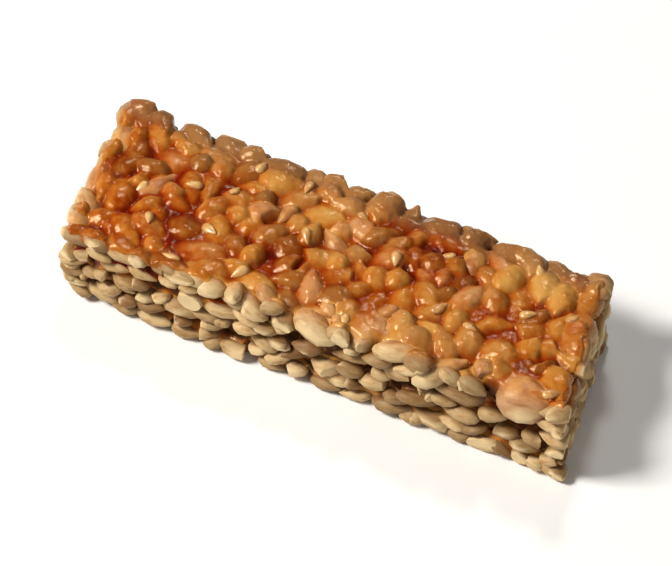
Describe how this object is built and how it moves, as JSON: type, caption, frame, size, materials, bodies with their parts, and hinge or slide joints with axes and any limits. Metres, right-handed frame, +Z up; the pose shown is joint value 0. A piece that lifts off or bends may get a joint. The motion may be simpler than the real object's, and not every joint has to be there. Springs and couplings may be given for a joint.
{
  "type": "seed brittle bar",
  "caption": "Hand-cut bar of seed brittle: sunflower kernels set in amber caramel, with a lumpy glossy top, pale kernels stacked in its cut sides and a flat base.",
  "frame": {"origin": "under the middle of the bar, on the surface that it rests on", "axes": "+X along the bar to the right end, -Y out of the front long side, +Z up through the top"},
  "size_m": [0.0922, 0.0324, 0.0156],
  "materials": {
    "caramel": "glossy amber caramel over kernels",
    "kernels": "satin, pale cream kernels on the cut sides",
    "sesame": "satin, small seeds under caramel"
  },
  "bodies": {
    "root": {"seed_bar": "caramel"}
  },
  "joints": []
}
